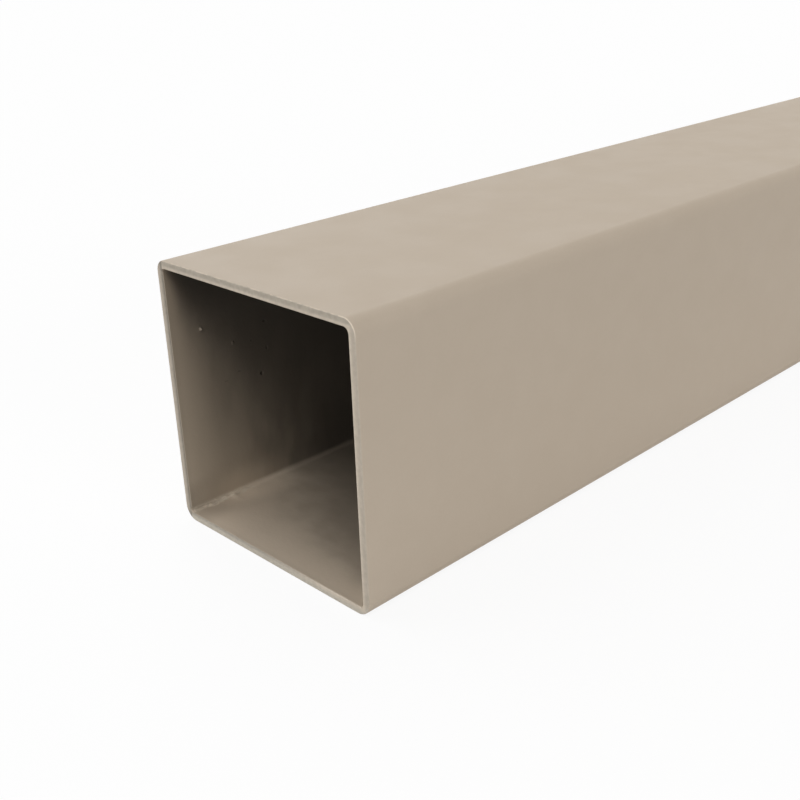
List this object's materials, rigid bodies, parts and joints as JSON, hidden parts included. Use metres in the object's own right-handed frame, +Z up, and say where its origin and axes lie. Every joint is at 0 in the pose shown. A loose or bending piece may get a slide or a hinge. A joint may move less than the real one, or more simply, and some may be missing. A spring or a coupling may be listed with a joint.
{
  "type": "square metal tube",
  "caption": "Straight piece of square hollow section: painted steel tube with rounded corners, open at both sawn ends, for frames, posts and rails.",
  "frame": {"origin": "middle of the underside, halfway along the tube", "axes": "+X along the tube, +Y across it away from the wall that carries the weld, +Z up"},
  "size_m": [1, 0.1, 0.1],
  "materials": {
    "paint": "satin"
  },
  "bodies": {
    "root": {"square_tube": "paint"}
  },
  "joints": []
}
